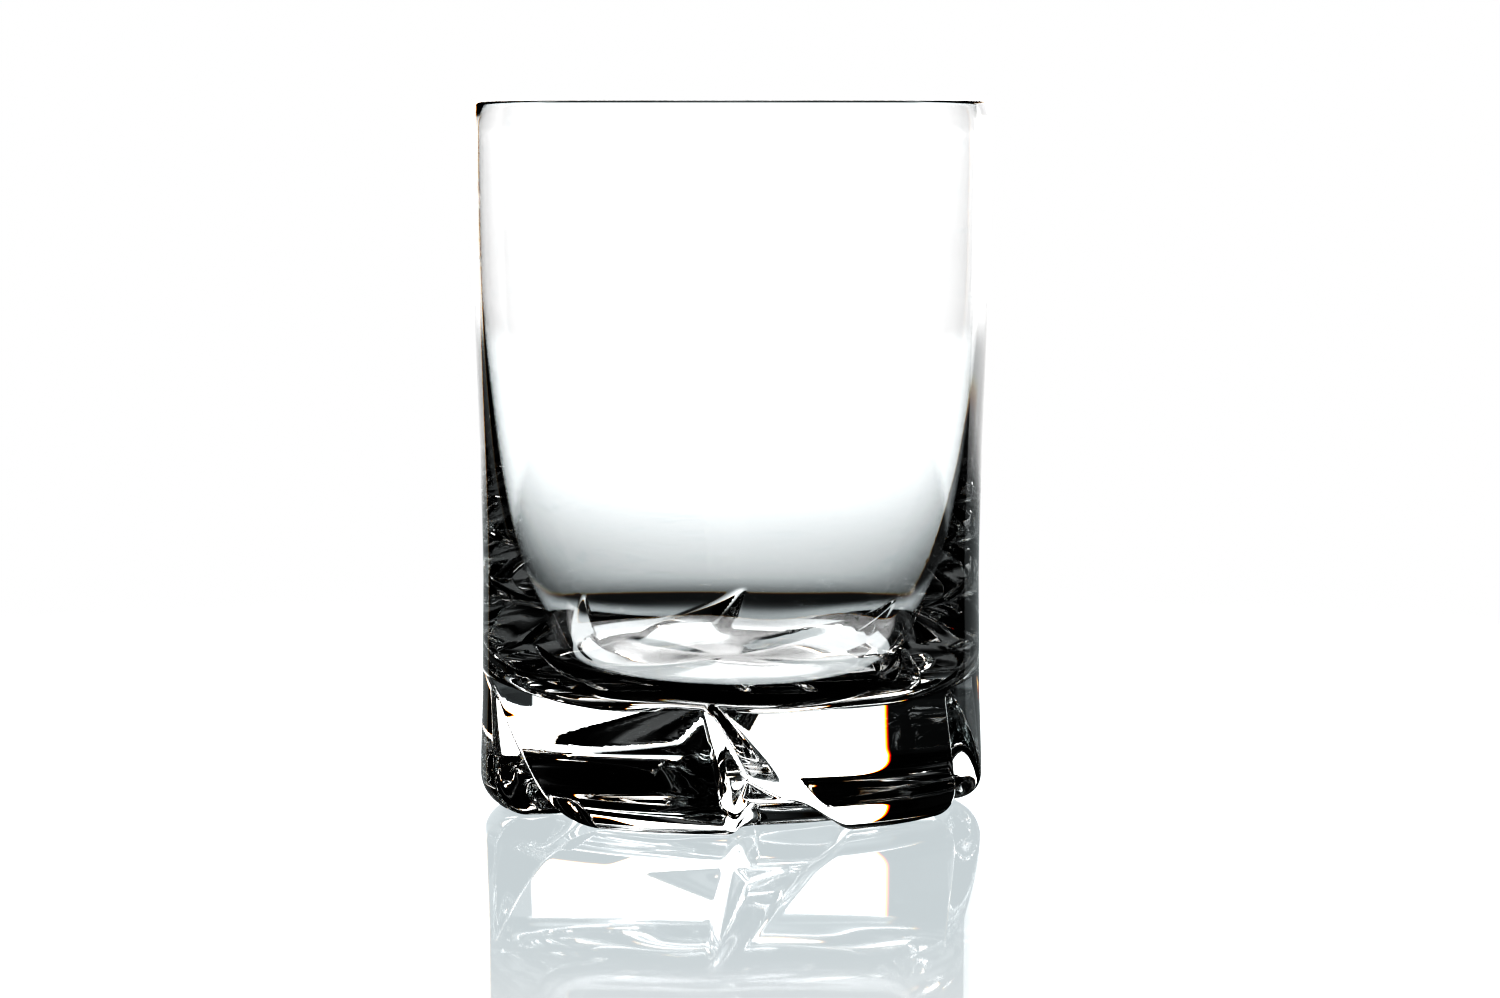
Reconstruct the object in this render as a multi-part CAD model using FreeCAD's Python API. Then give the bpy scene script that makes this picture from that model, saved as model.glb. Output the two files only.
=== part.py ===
"""Whiskey tumbler, pressed and polished from one piece of clear crystal glass.

The glass stands on a foot of six twisted lobes. Between two lobes runs a groove that starts as a
point at the foot's waist, leans to the right as it falls, and widens to the table. Its left side is
a steep wall, like a ratchet tooth's, and its right side is a ramp that runs out in a long slanting
edge. Above the foot the bowl is round, and its cavity ends well above the table in a thick solid
base.

Units are millimetres. +Z is up, and the origin is the middle of the foot on the table.
At angle 0 a point lies towards -Y, and angles grow towards +X.
"""
import FreeCAD, Part
import os
from math import cos, degrees, hypot, pi, radians, sin

# Overall size
HEIGHT = 101.5
RIM_RADIUS = 37.4
RIM_THICKNESS = 1.2
WAIST_RADIUS = 35.9
FOOT_RADIUS = 36.25
FOOT_HEIGHT = 19.5

# Heel of the foot, the flat ring it stands on, and the (radius, height) control points of the
# shallow dish ground into the middle of its underside
HEEL_RADIUS = 4.8
RING_OUTER = 23.0
RING_INNER = 20.0
DISH = [(RING_INNER, 0.0), (12.0, 0.0), (8.0, 1.6), (0.0, 1.6)]

# Grooves between the lobes: the angles where they start, how many degrees their two edges lean for
# each millimetre down, how steep their sides are, and their greatest depth at the heel and above it
GROOVE_STARTS = [-71.0, -5.0, 58.0, 117.0, 176.0, 231.0]
GROOVE_TOP = 18.5
STEEP_LEAN = 0.29
RAMP_LEAN = 1.7
STEEP_SLOPE = 1.9
RAMP_SLOPE = 1.3
VALLEY_ROUNDING = 0.7
EDGE_ROUNDING = 1.6
GROOVE_RUN_IN = 1.5
HEEL_DEPTH = 4.2
DEPTH_RISE = 1.6

# Bowl: (radius, height) control points of its outer and inner outlines
WAIST_TO_RIM = [
    (WAIST_RADIUS, FOOT_HEIGHT),
    (WAIST_RADIUS, 25.5),
    (35.6, 34.5),
    (36.25, 51.5),
    (36.95, 69.5),
    (37.35, 87.5),
    (RIM_RADIUS, 96.5),
    (RIM_RADIUS, HEIGHT - RIM_THICKNESS / 2),
]
CAVITY = [
    (RIM_RADIUS - RIM_THICKNESS, HEIGHT - RIM_THICKNESS / 2),
    (RIM_RADIUS - RIM_THICKNESS, 96.5),
    (36.05, 85.5),
    (35.75, 69.5),
    (34.2, 53.5),
    (32.9, 43.5),
    (31.3, 34.5),
    (29.0, 25.5),
    (25.8, 17.1),
    (16.0, 15.1),
    (0.0, 15.1),
]

# Fineness of the foot's net of control points, and the largest gap closed between faces
STEPS_ROUND = 240
PAD_ROWS = 10
HEEL_ROWS = 9
SIDE_ROWS = 15
SEWING_GAP = 0.001


def smooth_step(x):
    """0 below 0, 1 above 1, and an S-shaped rise between."""
    x = min(max(x, 0.0), 1.0)
    return x * x * (3.0 - 2.0 * x)


def soft_min(a, b, rounding):
    """The smaller of two values, rounded where they cross."""
    near = max(rounding - abs(a - b), 0.0) / rounding
    return min(a, b) - near * near * rounding / 4.0


def soft_max(a, b, rounding):
    """The larger of two values, rounded where they cross."""
    return -soft_min(-a, -b, rounding)


def foot_outline():
    """(radius, height) points of the foot before its grooves, from its flat ring up to the waist."""
    pad_end = FOOT_RADIUS - HEEL_RADIUS
    points = []
    for i in range(PAD_ROWS):
        points.append((RING_OUTER + (pad_end - RING_OUTER) * i / PAD_ROWS, 0.0))
    for i in range(HEEL_ROWS):
        turn = pi / 2 * i / HEEL_ROWS
        points.append((pad_end + HEEL_RADIUS * sin(turn), HEEL_RADIUS * (1.0 - cos(turn))))
    for i in range(SIDE_ROWS + 1):
        z = HEEL_RADIUS + (FOOT_HEIGHT - HEEL_RADIUS) * i / SIDE_ROWS
        rise = smooth_step((FOOT_HEIGHT - z) / (FOOT_HEIGHT - HEEL_RADIUS))
        points.append((WAIST_RADIUS + (FOOT_RADIUS - WAIST_RADIUS) * rise, z))
    return points


def outline_normals(points):
    """Outward normal at each outline point, from the points on both sides of it."""
    normals = []
    last = len(points) - 1
    for i in range(last + 1):
        before = points[max(i - 1, 0)]
        after = points[min(i + 1, last)]
        dr = after[0] - before[0]
        dz = after[1] - before[1]
        length = hypot(dr, dz)
        normals.append((dz / length, -dr / length))
    return normals


def falls(points):
    """How far each outline point lies below the grooves' tops, measured along the outline."""
    along = [0.0]
    for low, high in zip(points, points[1:]):
        along.append(along[-1] + hypot(high[0] - low[0], high[1] - low[1]))
    top = next(s + GROOVE_TOP - p[1] for s, p in zip(along, points) if p[1] > HEEL_RADIUS)
    return [top - s for s in along]


def groove_depth(angle, radius, fall):
    """Depth of the grooves at an angle in degrees, fall millimetres below their tops."""
    if fall <= 0.0:
        return 0.0
    deepest = 0.0
    for start in GROOVE_STARTS:
        from_steep = (angle - start - STEEP_LEAN * fall + 180.0) % 360.0 - 180.0
        width = (RAMP_LEAN - STEEP_LEAN) * fall
        steep = radians(from_steep) * radius * STEEP_SLOPE
        ramp = radians(width - from_steep) * radius * RAMP_SLOPE
        valley = soft_min(steep, ramp, VALLEY_ROUNDING)
        deepest = max(deepest, soft_max(valley, 0.0, EDGE_ROUNDING))
    return deepest * smooth_step(fall / GROOVE_RUN_IN)


def deepest_allowed(height):
    """Greatest groove depth at a height: less than the heel's radius where the outline turns under."""
    return HEEL_DEPTH + DEPTH_RISE * max(height - HEEL_RADIUS, 0.0)


def underside_fade(radius, height):
    """1 on the foot's side, falling to 0 where the grooves end at the flat ring."""
    pad_end = FOOT_RADIUS - HEEL_RADIUS
    if radius > pad_end or height > HEEL_RADIUS:
        return 1.0
    return smooth_step((radius - RING_OUTER) / (pad_end - RING_OUTER))


def ring(radius, height, normal, fall):
    """One closed row of the foot's control points, pushed in by the grooves."""
    step = 2.0 * pi / STEPS_ROUND
    outset = 3.0 / (2.0 + cos(step))
    fade = underside_fade(radius, height)
    row = []
    for i in range(STEPS_ROUND):
        angle = pi / 2 + step * (i - 1)
        depth = groove_depth(degrees(angle), radius, fall)
        depth = soft_min(depth, deepest_allowed(height), EDGE_ROUNDING) * fade
        r = (radius - normal[0] * depth) * outset
        row.append(FreeCAD.Vector(r * sin(angle), -r * cos(angle), height - normal[1] * depth))
    return row


def foot_face():
    """The whole lobed skin of the foot as one smooth closed surface."""
    points = foot_outline()
    rows = []
    for point, normal, fall in zip(points, outline_normals(points), falls(points)):
        rows.append(ring(point[0], point[1], normal, fall))
    columns = [list(column) for column in zip(*rows)]
    spans = len(rows) - 3
    surface = Part.BSplineSurface()
    surface.buildFromPolesMultsKnots(
        columns,
        [1] * (STEPS_ROUND + 1),
        [4] + [1] * (spans - 1) + [4],
        list(range(STEPS_ROUND + 1)),
        list(range(spans + 1)),
        True, False, 3, 3,
    )
    return surface.toShape()


def clamped_spline(outline):
    """Edge along a cubic spline in the XZ plane that starts and ends at its outer control points."""
    poles = [FreeCAD.Vector(r, 0.0, z) for r, z in outline]
    spans = len(poles) - 3
    curve = Part.BSplineCurve()
    curve.buildFromPolesMultsKnots(poles, [4] + [1] * (spans - 1) + [4], list(range(spans + 1)), False, 3)
    return curve.toShape()


def rim_arc():
    """The fire-polished rim, a half circle from the outer wall over to the cavity."""
    middle = RIM_RADIUS - RIM_THICKNESS / 2
    low = HEIGHT - RIM_THICKNESS / 2
    arc = Part.Arc(
        FreeCAD.Vector(RIM_RADIUS, 0.0, low),
        FreeCAD.Vector(middle, 0.0, HEIGHT),
        FreeCAD.Vector(RIM_RADIUS - RIM_THICKNESS, 0.0, low),
    )
    return arc.toShape()


def turned_faces(*edges):
    """Faces left by edges in the XZ plane as they turn once about the glass's axis."""
    faces = []
    for edge in edges:
        faces += edge.revolve(FreeCAD.Vector(0, 0, 0), FreeCAD.Vector(0, 0, 1), 360.0).Faces
    return faces


def lowest_edge(shape):
    """The closed edge that lies lowest on a shape."""
    return min(shape.Edges, key=lambda edge: edge.BoundBox.ZMax)


def tumbler_glass():
    """The glass: lobed foot, solid base, bowl and rim in one closed solid."""
    foot = foot_face()
    dish = turned_faces(clamped_spline(DISH))
    hole = Part.Circle(FreeCAD.Vector(0, 0, 0), FreeCAD.Vector(0, 0, 1), RING_INNER).toShape()
    ring = Part.Face(Part.Wire([lowest_edge(foot)])).cut(Part.Face(Part.Wire([hole])))
    bowl = turned_faces(clamped_spline(WAIST_TO_RIM), rim_arc(), clamped_spline(CAVITY))
    skin = Part.Compound([foot] + ring.Faces + dish + bowl)
    skin.sewShape(SEWING_GAP)
    return Part.Solid(skin.Shells[0])


def main():
    os.makedirs("parts", exist_ok=True)
    glass = tumbler_glass()
    print("valid", glass.isValid(), "volume", round(glass.Volume), "faces", len(glass.Faces))
    glass.exportStep("parts/tumbler_glass.step")


main()
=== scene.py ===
"""Looks of the whiskey tumbler: one piece of clear crystal glass on a pale floor, lit from behind.

The glass's skin is built from the same outlines as the CAD model, only finer, and takes its place.
Lengths in the outlines are millimetres; MM turns them into metres. At angle 0 a point lies towards
-Y, where the camera stands, and angles grow towards +X.
"""
import bpy
import numpy as np
from math import cos, pi, radians, sin
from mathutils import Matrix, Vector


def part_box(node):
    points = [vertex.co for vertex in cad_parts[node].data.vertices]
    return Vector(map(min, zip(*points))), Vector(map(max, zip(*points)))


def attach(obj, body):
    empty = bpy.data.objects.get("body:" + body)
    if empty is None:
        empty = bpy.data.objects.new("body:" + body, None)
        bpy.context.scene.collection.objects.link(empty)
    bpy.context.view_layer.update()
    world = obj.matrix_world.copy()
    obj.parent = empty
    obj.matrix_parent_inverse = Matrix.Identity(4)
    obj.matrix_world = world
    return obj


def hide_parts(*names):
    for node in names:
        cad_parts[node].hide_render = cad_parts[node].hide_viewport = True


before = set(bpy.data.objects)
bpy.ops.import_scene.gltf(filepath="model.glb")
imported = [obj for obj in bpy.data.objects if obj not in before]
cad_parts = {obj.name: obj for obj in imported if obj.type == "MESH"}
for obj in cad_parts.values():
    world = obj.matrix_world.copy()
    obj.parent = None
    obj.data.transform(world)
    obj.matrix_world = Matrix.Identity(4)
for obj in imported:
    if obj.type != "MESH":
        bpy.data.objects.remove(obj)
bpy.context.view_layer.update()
floor_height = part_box("tumbler_glass")[0][2]
MM = 0.001

# The glass's outlines, as in the CAD model
HEIGHT = 101.5
RIM_RADIUS = 37.4
RIM_THICKNESS = 1.2
WAIST_RADIUS = 35.9
FOOT_RADIUS = 36.25
FOOT_HEIGHT = 19.5
HEEL_RADIUS = 4.8
RING_OUTER = 23.0
RING_INNER = 20.0
DISH = [(0.0, 1.6), (8.0, 1.6), (12.0, 0.0), (RING_INNER, 0.0)]
GROOVE_STARTS = [-71.0, -5.0, 58.0, 117.0, 176.0, 231.0]
GROOVE_TOP = 18.5
STEEP_LEAN = 0.29
RAMP_LEAN = 1.7
STEEP_SLOPE = 1.9
RAMP_SLOPE = 1.3
VALLEY_ROUNDING = 0.7
EDGE_ROUNDING = 1.6
GROOVE_RUN_IN = 1.5
HEEL_DEPTH = 4.2
DEPTH_RISE = 1.6
WAIST_TO_RIM = [
    (WAIST_RADIUS, FOOT_HEIGHT),
    (WAIST_RADIUS, 25.5),
    (35.6, 34.5),
    (36.25, 51.5),
    (36.95, 69.5),
    (37.35, 87.5),
    (RIM_RADIUS, 96.5),
    (RIM_RADIUS, HEIGHT - RIM_THICKNESS / 2),
]
CAVITY = [
    (RIM_RADIUS - RIM_THICKNESS, HEIGHT - RIM_THICKNESS / 2),
    (RIM_RADIUS - RIM_THICKNESS, 96.5),
    (36.05, 85.5),
    (35.75, 69.5),
    (34.2, 53.5),
    (32.9, 43.5),
    (31.3, 34.5),
    (29.0, 25.5),
    (25.8, 17.1),
    (16.0, 15.1),
    (0.0, 15.1),
]

# Waviness that pressing leaves in the cavity's bottom: its height, how high and how far out it
# reaches, and (waves round, turn) of its parts
WAVE_HEIGHT = 0.6
WAVE_TOP = 25.0
WAVE_REACH = 30.0
WAVES = [(3, 0.4), (5, 2.1)]

# Fineness of the skin
STEPS_ROUND = 640
DISH_ROWS = 10
PAD_ROWS = 8
HEEL_ROWS = 20
SIDE_ROWS = 40
WALL_ROWS = 18
RIM_ROWS = 8
CAVITY_ROWS = 46

# Crystal: its refractive index, and the tint that grows with thickness
CRYSTAL_IOR = 1.545
TINT = (0.72, 0.92, 0.93, 1.0)
TINT_DENSITY = 1.2

# Marks on the glass: long soft swells, and the narrow slanting marks of a cloth
SWELLS_PER_METRE = 55.0
SWELL_HEIGHT = 0.00002
WIPES_PER_METRE = 420.0
WIPE_DIRECTION = (0.0, radians(24.0), radians(35.0))
WIPE_STRETCH = (0.05, 0.8, 1.0)
WIPE_EDGES = (0.60, 0.72)
WIPE_SHARE = 0.1
CLEAN = (1.0, 1.0, 1.0, 1.0)
WIPED = (0.955, 0.975, 0.98, 1.0)

# Camera: metres from the glass's axis, lens in millimetres, degrees down and to the right
CAMERA_DISTANCE = 0.7057
CAMERA_LENS = 117.7
CAMERA_TILT = 4.65
CAMERA_PAN = 0.222

# Tone curve of the picture's shadows: (light, how it shows)
SHADOW_TONES = [(0.04, 0.005), (0.12, 0.032), (0.3, 0.2), (0.55, 0.53)]

# Longest chains of bounces that light is followed through
GLASS_BOUNCES = 32
GLOSSY_BOUNCES = 16

# Backdrop: a bright panel behind the glass, in degrees round from +Y and up from level. Its top drops
# towards the right, its light grows across the horizon, and its edges are split a little by colour
BACKDROP_LEFT = -28.0
BACKDROP_RIGHT = 42.0
BACKDROP_SIDE_BLUR = 0.5
BACKDROP_TOP = 35.0
BACKDROP_LOW_TOP = 12.0
BACKDROP_TOP_BLUR = 1.0
SLANT_START = 12.0
SLANT_END = 22.0
HORIZON = (-2.0, 4.0)
BACKDROP_LIGHT = (1.4, 3.9)
FRINGE = 0.4

# Room around the backdrop: dim light low on its walls, with a dark gap to the panel's left
ROOM_LIGHT = 0.2
ROOM_TOP = 18.0
ROOM_TOP_BLUR = 4.0
ROOM_GAP_END = -55.0
ROOM_GAP_BLUR = 3.0
ROOM_RIGHT_BLUR = 1.0

# Floor: a round table top just under the glass. Distances are metres from the glass's axis
FLOOR_RADIUS = 0.72
FLOOR_CORNERS = 96
FLOOR_GAP = 0.00002

# Floor as the camera sees it: pale, with a soft mirror image, fading into the white world
SEEN_FADE = (0.10, 0.30)
PALE = (0.59, 0.645, 0.665, 1.0)
MIRROR = (0.37, 0.38, 0.385, 1.0)
MIRROR_ROUGHNESS = 0.02

# Floor as it shows through the glass: painted shade in a strip behind the glass and painted light on the
# pale table around it. Each has its light where it is seen from above and where it is seen at a grazing
# angle
THROUGH_FADE = (0.40, 0.70)
THROUGH = (0.93, 0.985, 1.0, 1.0)
# Painted shade: a dark strip behind the glass that shows only through it; the camera sees pale floor there
SHADE_STRIP_SIDE = (0.065, 0.075)
SHADE_STRIP_START = (0.03, 0.045)
SHADE_STRIP_GRAZING = (0.05, 0.32)
SHADE_STRIP_LIGHT = (0.42, 0.05)
# Painted light on the table around the strip, seen only through the glass
TABLE_GRAZING = (0.80, 0.88)
TABLE_LIGHT = (0.92, 0.0092)

# Gloss of that floor: weaker where light has met a mirror on its way, and from above
SHEEN = (0.94, 0.99, 1.0, 1.0)
SHEEN_ROUGHNESS = 0.03
SHEEN_IOR = 1.5
SIDE_SHEEN = 0.2
STRAIGHT_SHEEN = 1.25
SHEEN_GRAZING = (0.35, 0.6)
SHEEN_SHARE = (0.5, 1.0)


def smooth_step(x):
    """0 below 0, 1 above 1, and an S-shaped rise between."""
    x = np.clip(x, 0.0, 1.0)
    return x * x * (3.0 - 2.0 * x)


def soft_min(a, b, rounding):
    """The smaller of two values, rounded where they cross."""
    near = np.maximum(rounding - np.abs(a - b), 0.0) / rounding
    return np.minimum(a, b) - near * near * rounding / 4.0


def soft_max(a, b, rounding):
    """The larger of two values, rounded where they cross."""
    return -soft_min(-a, -b, rounding)


def foot_outline():
    """(radius, height) points of the foot before its grooves, from its flat ring to the waist."""
    pad_end = FOOT_RADIUS - HEEL_RADIUS
    pad = np.linspace(RING_OUTER, pad_end, PAD_ROWS, endpoint=False)
    turn = np.linspace(0.0, pi / 2, HEEL_ROWS, endpoint=False)
    side = np.linspace(HEEL_RADIUS, FOOT_HEIGHT, SIDE_ROWS + 1)
    rise = smooth_step((FOOT_HEIGHT - side) / (FOOT_HEIGHT - HEEL_RADIUS))
    radii = [pad, pad_end + HEEL_RADIUS * np.sin(turn), WAIST_RADIUS + (FOOT_RADIUS - WAIST_RADIUS) * rise]
    heights = [0.0 * pad, HEEL_RADIUS * (1.0 - np.cos(turn)), side]
    return np.stack([np.concatenate(radii), np.concatenate(heights)], axis=1)


def groove_depth(angles, radius, fall):
    """Depth of the grooves at angles in degrees, fall millimetres below their tops."""
    deepest = np.zeros_like(angles)
    if fall <= 0.0:
        return deepest
    for start in GROOVE_STARTS:
        from_steep = (angles - start - STEEP_LEAN * fall + 180.0) % 360.0 - 180.0
        width = (RAMP_LEAN - STEEP_LEAN) * fall
        steep = np.radians(from_steep) * radius * STEEP_SLOPE
        ramp = np.radians(width - from_steep) * radius * RAMP_SLOPE
        valley = soft_min(steep, ramp, VALLEY_ROUNDING)
        deepest = np.maximum(deepest, soft_max(valley, 0.0 * valley, EDGE_ROUNDING))
    return deepest * smooth_step(fall / GROOVE_RUN_IN)


def foot_rings(angles):
    """The foot's rows of points, each turned with the grooves' steep sides and pushed in by the grooves."""
    outline = foot_outline()
    steps = np.gradient(outline, axis=0)
    lengths = np.hypot(steps[:, 0], steps[:, 1])
    normals = np.stack([steps[:, 1], -steps[:, 0]], axis=1) / lengths[:, None]
    runs = np.hypot(*np.diff(outline, axis=0).T)
    along = np.concatenate([[0.0], np.cumsum(runs)])
    on_side = outline[:, 1] > HEEL_RADIUS
    top = np.interp(GROOVE_TOP, outline[on_side, 1], along[on_side])
    pad_end = FOOT_RADIUS - HEEL_RADIUS
    rings = []
    for (r, z), normal, s in zip(outline, normals, along):
        fade = 1.0
        if r <= pad_end and z <= HEEL_RADIUS:
            fade = smooth_step((r - RING_OUTER) / (pad_end - RING_OUTER))
        turned = angles + radians(STEEP_LEAN * max(top - s, 0.0))
        most = HEEL_DEPTH + DEPTH_RISE * max(z - HEEL_RADIUS, 0.0)
        depth = soft_min(groove_depth(np.degrees(turned), r, top - s), most, EDGE_ROUNDING) * fade
        rings.append((r - normal[0] * depth, z - normal[1] * depth, turned))
    return rings


def clamped_spline(poles, count):
    """Points along a cubic B-spline that starts and ends at its outer control points."""
    poles = np.array(poles)
    spans = len(poles) - 3
    knots = np.concatenate([[0.0] * 3, np.arange(spans + 1.0), [spans] * 3])
    t = np.linspace(0.0, spans, count)
    t[-1] -= 1e-9
    basis = np.array([(t >= low) & (t < high) for low, high in zip(knots, knots[1:])], float)
    for degree in (1, 2, 3):
        raised = []
        for i in range(len(basis) - 1):
            up = knots[i + degree] - knots[i]
            down = knots[i + degree + 1] - knots[i + 1]
            rising = (t - knots[i]) / up * basis[i] if up else 0.0 * t
            falling = (knots[i + degree + 1] - t) / down * basis[i + 1] if down else 0.0 * t
            raised.append(rising + falling)
        basis = np.array(raised)
    return basis.T @ poles


def bowl_rings():
    """(radius, height) of the outer wall's rows, the rim's and the cavity's, without its centre."""
    wall = clamped_spline(WAIST_TO_RIM, WALL_ROWS)[1:]
    turn = np.linspace(0.0, pi, RIM_ROWS + 1)[1:-1]
    half = RIM_THICKNESS / 2
    rim = np.stack([RIM_RADIUS - half + half * np.cos(turn), HEIGHT - half + half * np.sin(turn)], axis=1)
    cavity = clamped_spline(CAVITY, CAVITY_ROWS)[:-1]
    return np.concatenate([wall, rim, cavity])


def cavity_waves(angles, radius, height):
    """How far the pressed waves lift the cavity's bottom, nothing at its middle and on its wall."""
    if height > WAVE_TOP or radius > WAVE_REACH:
        return 0.0 * angles
    across = sin(pi * radius / WAVE_REACH) ** 2
    waves = sum(np.cos(count * angles + turn) for count, turn in WAVES) / len(WAVES)
    return WAVE_HEIGHT * across * waves


def glass_skin():
    """Mesh of the whole glass: quads in rows from the underside round to the cavity's middle."""
    angles = np.linspace(0.0, 2.0 * pi, STEPS_ROUND, endpoint=False)
    dish = clamped_spline(DISH, DISH_ROWS)[1:]
    foot = foot_rings(angles)
    rings = [(r, z, foot[0][2]) for r, z in dish] + foot
    rings += [(r, z + cavity_waves(angles, r, z), angles) for r, z in bowl_rings()]
    rows = []
    for r, z, turned in rings:
        rows.append(np.stack([r * np.sin(turned), -r * np.cos(turned), z + 0.0 * turned], axis=1))
    middles = [[0.0, 0.0, CAVITY[-1][1]], [0.0, 0.0, DISH[0][1]]]
    points = np.concatenate(rows + [middles]) * MM
    faces = []
    for row in range(len(rows) - 1):
        for i in range(STEPS_ROUND):
            j = (i + 1) % STEPS_ROUND
            a = row * STEPS_ROUND
            b = a + STEPS_ROUND
            faces.append((a + i, a + j, b + j, b + i))
    last = (len(rows) - 1) * STEPS_ROUND
    for i in range(STEPS_ROUND):
        j = (i + 1) % STEPS_ROUND
        faces.append((last + i, last + j, len(points) - 2))
        faces.append((j, i, len(points) - 1))
    mesh = bpy.data.meshes.new("tumbler_skin")
    mesh.from_pydata(points.tolist(), [], faces)
    mesh.shade_smooth()
    skin = bpy.data.objects.new("tumbler_skin", mesh)
    bpy.context.scene.collection.objects.link(skin)
    return skin


class Graph:
    """Short ways to add and join the nodes of a material or world."""

    def __init__(self, owner):
        owner.use_nodes = True
        self.tree = owner.node_tree
        self.tree.nodes.clear()

    def add(self, kind, **values):
        """A node; values set its attributes, and its sockets are set with put()."""
        node = self.tree.nodes.new(kind)
        for name, value in values.items():
            setattr(node, name, value)
        return node

    def put(self, socket, value):
        """Joins another socket to this one, or sets its value."""
        if isinstance(value, bpy.types.NodeSocket):
            self.tree.links.new(value, socket)
        else:
            socket.default_value = value

    def math(self, operation, *values):
        node = self.add("ShaderNodeMath", operation=operation)
        for socket, value in zip(node.inputs, values):
            self.put(socket, value)
        return node.outputs[0]

    def ramp(self, value, start, end, low=0.0, high=1.0):
        """low at start, high at end, with an S-shaped change between."""
        node = self.add("ShaderNodeMapRange", interpolation_type="SMOOTHSTEP")
        for name, number in (("Value", value), ("From Min", start), ("From Max", end)):
            self.put(node.inputs[name], number)
        self.put(node.inputs["To Min"], low)
        self.put(node.inputs["To Max"], high)
        return node.outputs[0]

    def mix_color(self, share, first, second):
        node = self.add("ShaderNodeMix", data_type="RGBA")
        self.put(node.inputs["Factor"], share)
        for number, color in ((6, first), (7, second)):
            self.put(node.inputs[number], color)
        return node.outputs[2]

    def mix_shader(self, share, first, second):
        node = self.add("ShaderNodeMixShader")
        self.put(node.inputs[0], share)
        self.put(node.inputs[1], first)
        self.put(node.inputs[2], second)
        return node.outputs[0]


def crystal():
    """Clear lead crystal, its skin faintly uneven from pressing and marked where a cloth wiped it."""
    material = bpy.data.materials.new("clear_crystal")
    graph = Graph(material)
    surface = graph.add("ShaderNodeBsdfPrincipled")
    place = graph.add("ShaderNodeTexCoord").outputs["Object"]
    swell = graph.add("ShaderNodeTexNoise")
    swell.inputs["Scale"].default_value = SWELLS_PER_METRE
    swell.inputs["Detail"].default_value = 1.0
    graph.put(swell.inputs["Vector"], place)
    slanted = graph.add("ShaderNodeMapping")
    slanted.inputs["Rotation"].default_value = WIPE_DIRECTION
    slanted.inputs["Scale"].default_value = WIPE_STRETCH
    graph.put(slanted.inputs["Vector"], place)
    wipes = graph.add("ShaderNodeTexNoise")
    wipes.inputs["Scale"].default_value = WIPES_PER_METRE
    wipes.inputs["Detail"].default_value = 4.0
    graph.put(wipes.inputs["Vector"], slanted.outputs[0])
    marks = graph.ramp(wipes.outputs[0], *WIPE_EDGES)
    height = graph.math("ADD", swell.outputs[0], graph.math("MULTIPLY", marks, WIPE_SHARE))
    bump = graph.add("ShaderNodeBump")
    bump.inputs["Strength"].default_value = 1.0
    bump.inputs["Distance"].default_value = SWELL_HEIGHT
    graph.put(bump.inputs["Height"], height)
    graph.put(surface.inputs["Normal"], bump.outputs[0])
    graph.put(surface.inputs["Base Color"], graph.mix_color(marks, CLEAN, WIPED))
    surface.inputs["Transmission Weight"].default_value = 1.0
    surface.inputs["Roughness"].default_value = 0.0
    surface.inputs["IOR"].default_value = CRYSTAL_IOR
    tint = graph.add("ShaderNodeVolumeAbsorption")
    tint.inputs["Color"].default_value = TINT
    tint.inputs["Density"].default_value = TINT_DENSITY
    output = graph.add("ShaderNodeOutputMaterial")
    graph.put(output.inputs["Surface"], surface.outputs[0])
    graph.put(output.inputs["Volume"], tint.outputs[0])
    return material


def seen_floor(graph):
    """What the camera sees: pale, with a soft mirror image of the glass."""
    pale = graph.add("ShaderNodeEmission")
    pale.inputs["Color"].default_value = PALE
    mirror = graph.add("ShaderNodeBsdfGlossy")
    mirror.inputs["Color"].default_value = MIRROR
    mirror.inputs["Roughness"].default_value = MIRROR_ROUGHNESS
    shown = graph.add("ShaderNodeAddShader")
    graph.put(shown.inputs[0], pale.outputs[0])
    graph.put(shown.inputs[1], mirror.outputs[0])
    return shown.outputs[0]


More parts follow.
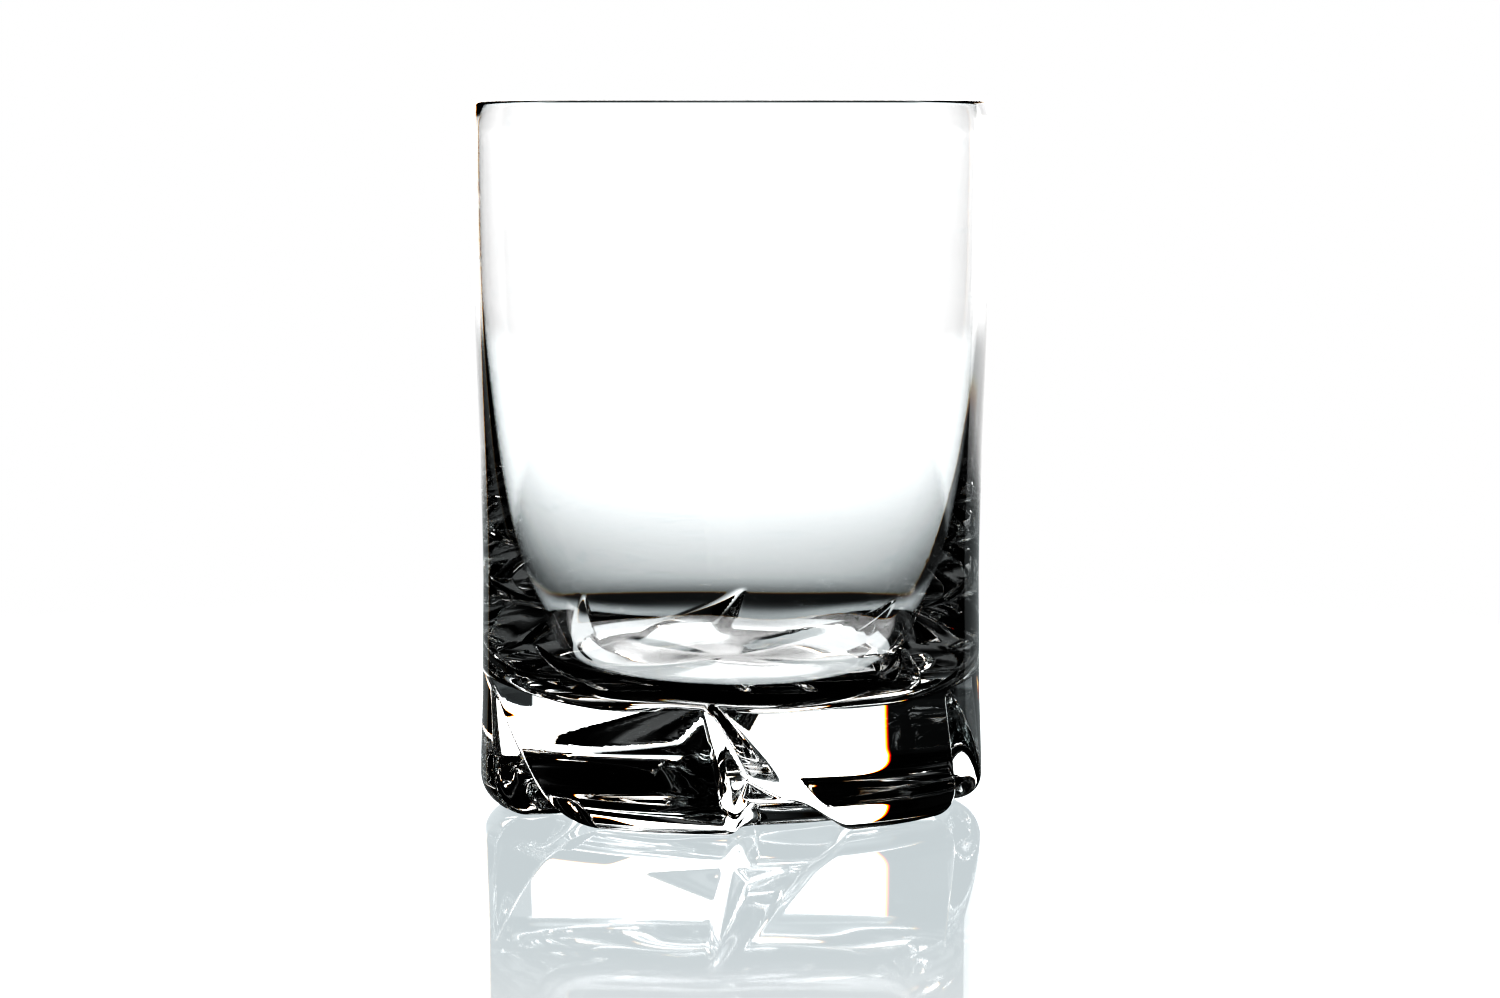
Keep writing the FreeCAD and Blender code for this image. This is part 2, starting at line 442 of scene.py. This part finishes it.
def floor_through_glass(graph, place, glossy_depth):
    """What shows through the glass: painted shade in a strip behind it, painted light on the table around,
    and their gloss.
    """
    straight = graph.math("LESS_THAN", glossy_depth, 0.5)
    grazing = graph.add("ShaderNodeLayerWeight").outputs["Facing"]
    parts = graph.add("ShaderNodeSeparateXYZ")
    graph.put(parts.inputs[0], place)
    aside = graph.ramp(graph.math("ABSOLUTE", parts.outputs["X"]), *SHADE_STRIP_SIDE)
    before = graph.ramp(parts.outputs["Y"], *SHADE_STRIP_START, 1.0, 0.0)
    beside = graph.math("MAXIMUM", aside, before)
    # Painted shade: a dark strip behind the glass, seen only through it
    in_shade_strip = graph.math("SUBTRACT", 1.0, beside)
    painted_strip_shade = graph.math("MULTIPLY", in_shade_strip, graph.ramp(grazing, *SHADE_STRIP_GRAZING, *SHADE_STRIP_LIGHT))
    # Painted light: the table seen through the glass glows, bright from above and dark at a grazing angle
    table = graph.math("MULTIPLY", beside, graph.ramp(grazing, *TABLE_GRAZING, *TABLE_LIGHT))
    painted_floor_light = graph.add("ShaderNodeEmission")
    painted_floor_light.inputs["Color"].default_value = THROUGH
    # Painted shade: the floor gives no light through the glass to rays that met a mirror on their way
    light = graph.math("MULTIPLY", straight, graph.math("ADD", painted_strip_shade, table))
    graph.put(painted_floor_light.inputs["Strength"], light)
    sheen = graph.add("ShaderNodeBsdfGlossy")
    sheen.inputs["Color"].default_value = SHEEN
    sheen.inputs["Roughness"].default_value = SHEEN_ROUGHNESS
    fresnel = graph.add("ShaderNodeFresnel")
    fresnel.inputs["IOR"].default_value = SHEEN_IOR
    strength = graph.ramp(straight, 0.0, 1.0, SIDE_SHEEN, STRAIGHT_SHEEN)
    gloss = graph.math("MULTIPLY", fresnel.outputs[0], strength)
    gloss = graph.math("MULTIPLY", gloss, graph.ramp(grazing, *SHEEN_GRAZING, *SHEEN_SHARE))
    return graph.mix_shader(gloss, painted_floor_light.outputs[0], sheen.outputs[0])


def floor_material():
    """Pale glossy table top that fades into the background. Seen through the glass it shows painted light
    and shade instead.
    """
    material = bpy.data.materials.new("pale_floor")
    graph = Graph(material)
    path = graph.add("ShaderNodeLightPath")
    place = graph.add("ShaderNodeTexCoord").outputs["Object"]
    length = graph.add("ShaderNodeVectorMath", operation="LENGTH")
    graph.put(length.inputs[0], place)
    away = length.outputs["Value"]
    nothing = graph.add("ShaderNodeBsdfTransparent").outputs[0]
    through = floor_through_glass(graph, place, path.outputs["Glossy Depth"])
    near = graph.mix_shader(graph.ramp(away, *SEEN_FADE), seen_floor(graph), nothing)
    far = graph.mix_shader(graph.ramp(away, *THROUGH_FADE), through, nothing)
    output = graph.add("ShaderNodeOutputMaterial")
    shader = graph.mix_shader(path.outputs["Is Camera Ray"], far, near)
    graph.put(output.inputs["Surface"], shader)
    return material


def make_floor():
    """A flat round table top under the glass."""
    ring = []
    for i in range(FLOOR_CORNERS):
        turn = 2 * pi * i / FLOOR_CORNERS
        ring.append((FLOOR_RADIUS * cos(turn), FLOOR_RADIUS * sin(turn), 0.0))
    mesh = bpy.data.meshes.new("floor")
    mesh.from_pydata(ring, [], [tuple(range(FLOOR_CORNERS))])
    mesh.materials.append(floor_material())
    floor = bpy.data.objects.new("floor", mesh)
    floor.location.z = floor_height - FLOOR_GAP
    bpy.context.scene.collection.objects.link(floor)


def backdrop_light(graph, azimuth, elevation, shift):
    """Light of the bright panel, its edges moved outwards by shift degrees at the left and the top."""
    start = BACKDROP_LEFT - shift
    left = graph.ramp(azimuth, start - BACKDROP_SIDE_BLUR, start + BACKDROP_SIDE_BLUR)
    right = graph.ramp(
        azimuth, BACKDROP_RIGHT + BACKDROP_SIDE_BLUR, BACKDROP_RIGHT - BACKDROP_SIDE_BLUR
    )
    across = graph.math("MULTIPLY", left, right)
    above = graph.ramp(elevation, *HORIZON, *BACKDROP_LIGHT)
    top = graph.ramp(
        azimuth, SLANT_START, SLANT_END, BACKDROP_TOP + shift, BACKDROP_LOW_TOP + shift
    )
    dark_from = graph.math("ADD", top, BACKDROP_TOP_BLUR)
    light_to = graph.math("SUBTRACT", top, BACKDROP_TOP_BLUR)
    below = graph.ramp(elevation, dark_from, light_to)
    return graph.math("MULTIPLY", across, graph.math("MULTIPLY", above, below))


def room_light(graph, azimuth, elevation):
    """Dim light low on the walls of the room, with none behind the panel or in the gap beside it."""
    gap = graph.ramp(azimuth, ROOM_GAP_END - ROOM_GAP_BLUR, ROOM_GAP_END)
    panel_end = graph.ramp(azimuth, BACKDROP_RIGHT, BACKDROP_RIGHT - ROOM_RIGHT_BLUR)
    gap = graph.math("MULTIPLY", gap, panel_end)
    low = graph.ramp(elevation, ROOM_TOP + ROOM_TOP_BLUR, ROOM_TOP - ROOM_TOP_BLUR, 0.0, ROOM_LIGHT)
    return graph.math("MULTIPLY", graph.math("SUBTRACT", 1.0, gap), low)


def make_world():
    """White to the camera. To everything else, a bright panel behind the glass in a dark room."""
    world = bpy.data.worlds.new("studio")
    bpy.context.scene.world = world
    graph = Graph(world)
    direction = graph.add("ShaderNodeSeparateXYZ")
    graph.put(direction.inputs[0], graph.add("ShaderNodeTexCoord").outputs["Generated"])
    x, y, z = direction.outputs
    azimuth = graph.math("MULTIPLY", graph.math("ARCTAN2", x, y), 180.0 / pi)
    elevation = graph.math("MULTIPLY", graph.math("ARCSINE", z), 180.0 / pi)
    room = room_light(graph, azimuth, elevation)
    lit = graph.add("ShaderNodeCombineColor")
    for socket, shift in zip(lit.inputs, (FRINGE, 0.0, -FRINGE)):
        panel = backdrop_light(graph, azimuth, elevation, shift)
        graph.put(socket, graph.math("ADD", panel, room))
    seen = graph.add("ShaderNodeLightPath").outputs["Is Camera Ray"]
    background = graph.add("ShaderNodeBackground")
    color = graph.mix_color(seen, lit.outputs[0], (1.0, 1.0, 1.0, 1.0))
    graph.put(background.inputs["Color"], color)
    output = graph.add("ShaderNodeOutputWorld")
    graph.put(output.inputs["Surface"], background.outputs[0])


def make_camera():
    """Level with the rim, looking slightly down."""
    data = bpy.data.cameras.new("camera")
    data.sensor_width = 36.0
    data.lens = CAMERA_LENS
    data.clip_end = 50.0
    camera = bpy.data.objects.new("camera", data)
    camera.location = (0.0, -CAMERA_DISTANCE, HEIGHT * MM)
    camera.rotation_euler = (pi / 2 - radians(CAMERA_TILT), 0.0, -radians(CAMERA_PAN))
    bpy.context.scene.collection.objects.link(camera)
    bpy.context.scene.camera = camera


def set_picture():
    """Tone curve of the picture, and how far light is followed."""
    scene = bpy.context.scene
    view = scene.view_settings
    view.view_transform = "Standard"
    view.use_curve_mapping = True
    combined = view.curve_mapping.curves[3]
    for light, shown in SHADOW_TONES:
        combined.points.new(light, shown)
    view.curve_mapping.update()
    scene.cycles.max_bounces = GLASS_BOUNCES
    scene.cycles.transmission_bounces = GLASS_BOUNCES
    scene.cycles.glossy_bounces = GLOSSY_BOUNCES


glass = glass_skin()
glass.data.materials.append(crystal())
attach(glass, "root")
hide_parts("tumbler_glass")
make_floor()
make_world()
make_camera()
set_picture()
